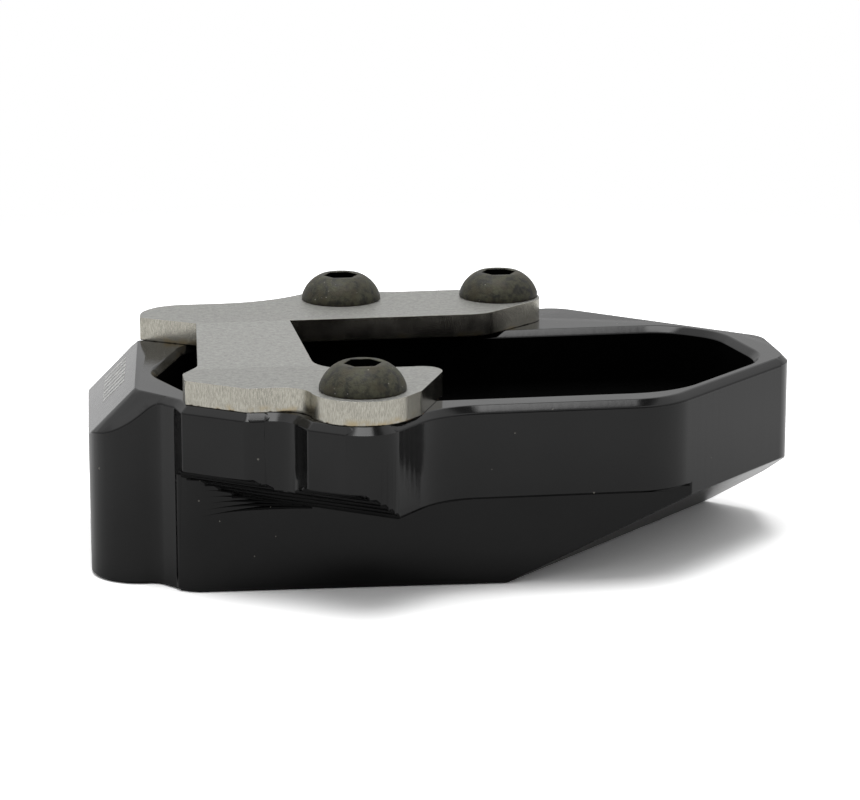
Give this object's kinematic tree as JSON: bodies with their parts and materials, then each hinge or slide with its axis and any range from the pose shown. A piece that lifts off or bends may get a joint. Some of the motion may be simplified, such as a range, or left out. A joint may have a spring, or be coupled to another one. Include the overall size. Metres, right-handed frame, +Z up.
{
  "type": "motorbike side stand foot enlarger",
  "caption": "Milled foot with a pocket for a motorbike side stand's own foot, held on by a C-shaped clamp plate and button-head screws.",
  "frame": {"origin": "on the floor, under the middle of the foot's outline", "axes": "+Z up out of the pocket, +X along the foot towards its nose, -Y towards the side with the single screw"},
  "size_m": [0.0902, 0.0662, 0.0303],
  "materials": {
    "anodised_black": "satin black anodised, machined",
    "stainless_sheet": "matte stainless sheet, laser-cut edges",
    "screw_black": "black oxide with worn specks"
  },
  "bodies": {
    "root": {"foot_body": "anodised_black", "clamp_plate": "stainless_sheet", "clamp_screw_front": "screw_black", "clamp_screw_rear_left": "screw_black", "clamp_screw_rear_right": "screw_black"}
  },
  "joints": []
}
